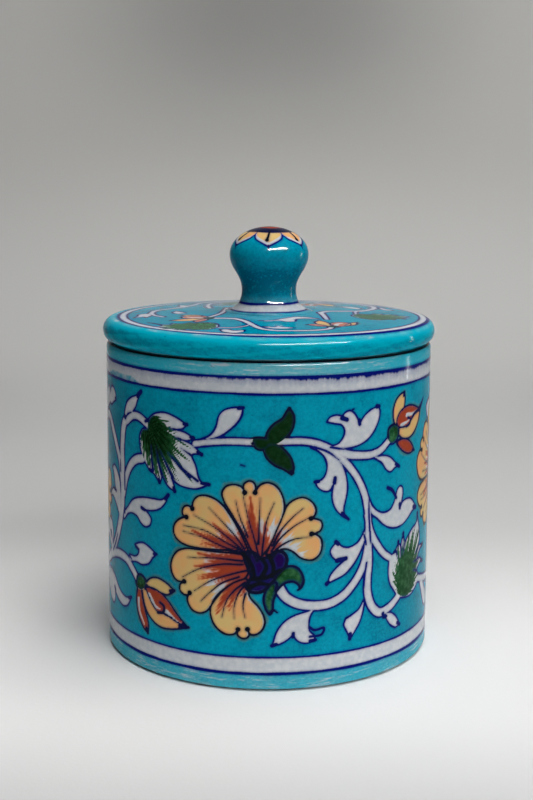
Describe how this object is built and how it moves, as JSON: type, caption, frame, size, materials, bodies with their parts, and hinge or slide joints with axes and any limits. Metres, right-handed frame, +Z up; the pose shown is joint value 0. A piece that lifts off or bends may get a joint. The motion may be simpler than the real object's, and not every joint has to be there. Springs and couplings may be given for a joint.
{
  "type": "lidded spice jar",
  "caption": "Round glazed ceramic jar with a lift-off lid that locates in its mouth by a ring, a turned knob, and a painted floral scroll.",
  "frame": {"origin": "centre of the foot ring's resting face, on the jar's axis", "axes": "+Z up along the jar's axis towards the knob; -Y is the painted front"},
  "size_m": [0.1008, 0.1008, 0.1277],
  "materials": {
    "painted_wall_glaze": "turquoise glaze over cobalt, white, yellow, red and green underglaze painting, glossy",
    "painted_lid_glaze": "turquoise glaze over a painted scroll and a white border ring, glossy",
    "painted_knob_glaze": "turquoise glaze with painted petals on the crown, glossy",
    "inner_glaze": "pale bluish white glaze, glossy",
    "bare_biscuit": "unglazed fired quartz paste, matt and slightly gritty"
  },
  "bodies": {
    "jar": {"jar_wall": "painted_wall_glaze", "jar_floor": "inner_glaze", "foot_ring": "bare_biscuit"},
    "lid": {"lid_plate": "painted_lid_glaze", "lid_locating_ring": "inner_glaze", "lid_knob": "painted_knob_glaze"}
  },
  "joints": [
    {"name": "lid_lift", "type": "slide", "parent": "jar", "child": "lid", "axis": [0, 0, 1], "range_m": [0, 0.06]}
  ]
}
